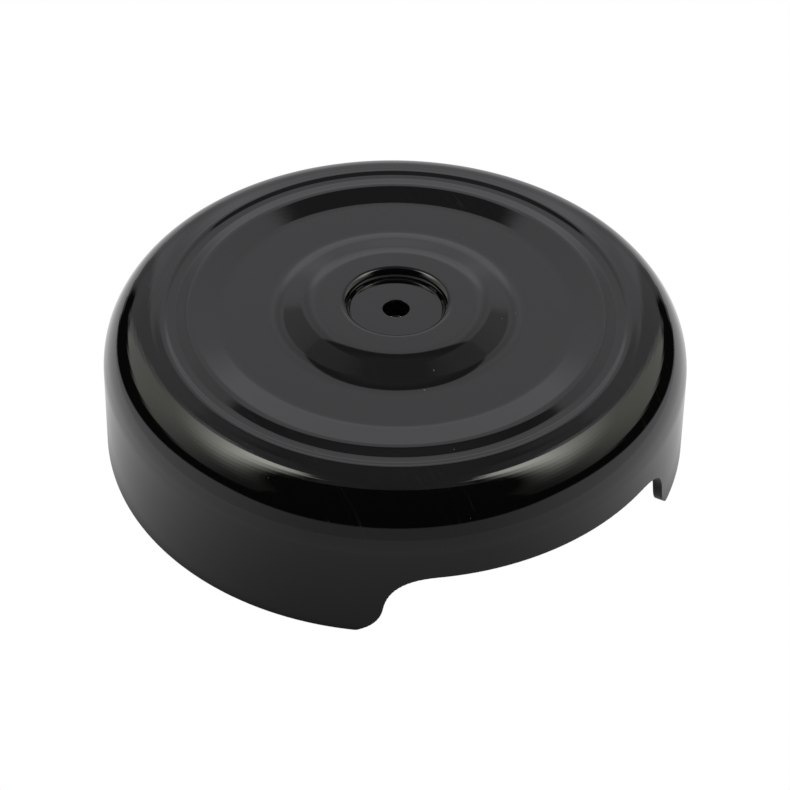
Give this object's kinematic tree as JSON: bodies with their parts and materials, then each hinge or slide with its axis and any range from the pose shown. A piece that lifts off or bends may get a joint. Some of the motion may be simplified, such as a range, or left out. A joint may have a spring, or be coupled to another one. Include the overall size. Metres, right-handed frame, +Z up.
{
  "type": "air filter housing",
  "caption": "Round thick-walled gloss lid with a sunk centre screw hole and a notched skirt, lifting off a pleated filter element on a base plate.",
  "frame": {"origin": "on the lid's axis, at the level of the lid's mouth and the base plate's flange face, which lie in one plane", "axes": "+Z up along the lid's axis, the way the lid lifts off; -Y out through the middle of the notch; +X across, through a breather"},
  "size_m": [0.2032, 0.2014, 0.05],
  "materials": {
    "gloss_black": "gloss black paint over a casting",
    "cast_alloy": "as cast and machined",
    "zinc_steel": "zinc plated",
    "rubber": "matt black",
    "foam": "open-cell foam",
    "filter_cloth": "oiled cotton gauze",
    "urethane": "moulded, satin"
  },
  "bodies": {
    "base": {"base_plate": "cast_alloy", "intake_bell": "cast_alloy", "throat_seal": "rubber", "element_seal": "foam", "bottom_cap": "urethane", "filter_media": "filter_cloth", "outer_mesh": "zinc_steel", "inner_mesh": "zinc_steel", "top_cap": "cast_alloy", "cover_nut": "zinc_steel", "cover_isolator": "rubber", "element_screw_1": "zinc_steel", "element_screw_2": "zinc_steel", "element_screw_3": "zinc_steel", "element_washer_1": "zinc_steel", "element_washer_2": "zinc_steel", "element_washer_3": "zinc_steel", "spacer_1": "cast_alloy", "spacer_2": "cast_alloy", "spacer_3": "cast_alloy", "breather_grommet_right": "rubber", "breather_grommet_left": "rubber", "breather_tube_right": "rubber", "breather_tube_left": "rubber"},
    "lid": {"cover": "gloss_black"}
  },
  "joints": [
    {"name": "cover_lift", "type": "slide", "parent": "base", "child": "lid", "axis": [0, 0, 1], "range_m": [0, 0.12]}
  ]
}
